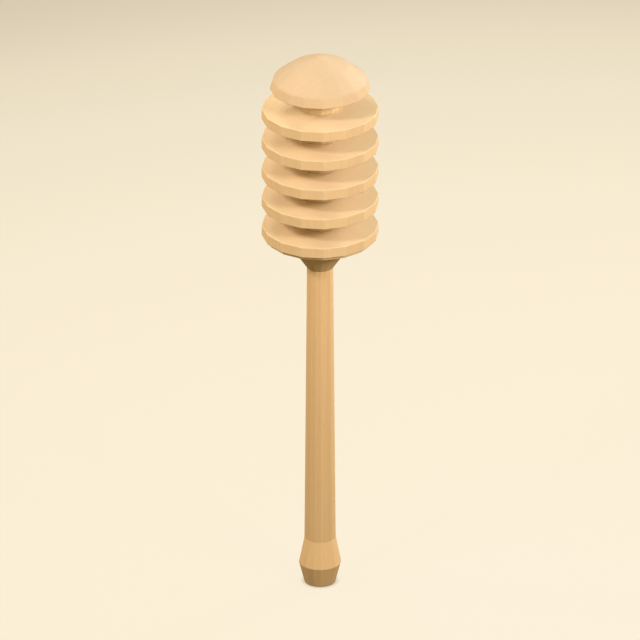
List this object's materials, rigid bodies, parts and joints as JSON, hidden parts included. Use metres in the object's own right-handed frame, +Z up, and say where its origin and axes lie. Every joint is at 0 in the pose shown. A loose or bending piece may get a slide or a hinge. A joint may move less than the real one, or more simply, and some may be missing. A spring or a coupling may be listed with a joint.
{
  "type": "honey dipper",
  "caption": "Wooden honey dipper: a grooved head of round discs under a domed cap, a flared neck, a tapered faceted handle and a flared pommel it stands on.",
  "frame": {"origin": "centre of the flat foot that the dipper stands on, at the middle of its footprint", "axes": "+Z up along the handle, from the foot to the dome; -Y is the front, where a corner between two flats of every turned piece points"},
  "size_m": [0.0318, 0.0318, 0.1588],
  "materials": {
    "handle_wood": "fine sanded, unvarnished",
    "head_wood": "fine sanded, unvarnished",
    "core_wood": "fine sanded, unvarnished"
  },
  "bodies": {
    "root": {"base_plate": "head_wood", "disc_1": "head_wood", "disc_2": "head_wood", "disc_3": "head_wood", "disc_4": "head_wood", "disc_5": "head_wood", "dome_cap": "head_wood", "handle": "handle_wood", "neck_collar": "handle_wood", "pommel": "handle_wood", "spacer_1": "core_wood", "spacer_2": "core_wood", "spacer_3": "core_wood", "spacer_4": "core_wood", "spacer_5": "core_wood", "spindle": "core_wood"}
  },
  "joints": []
}
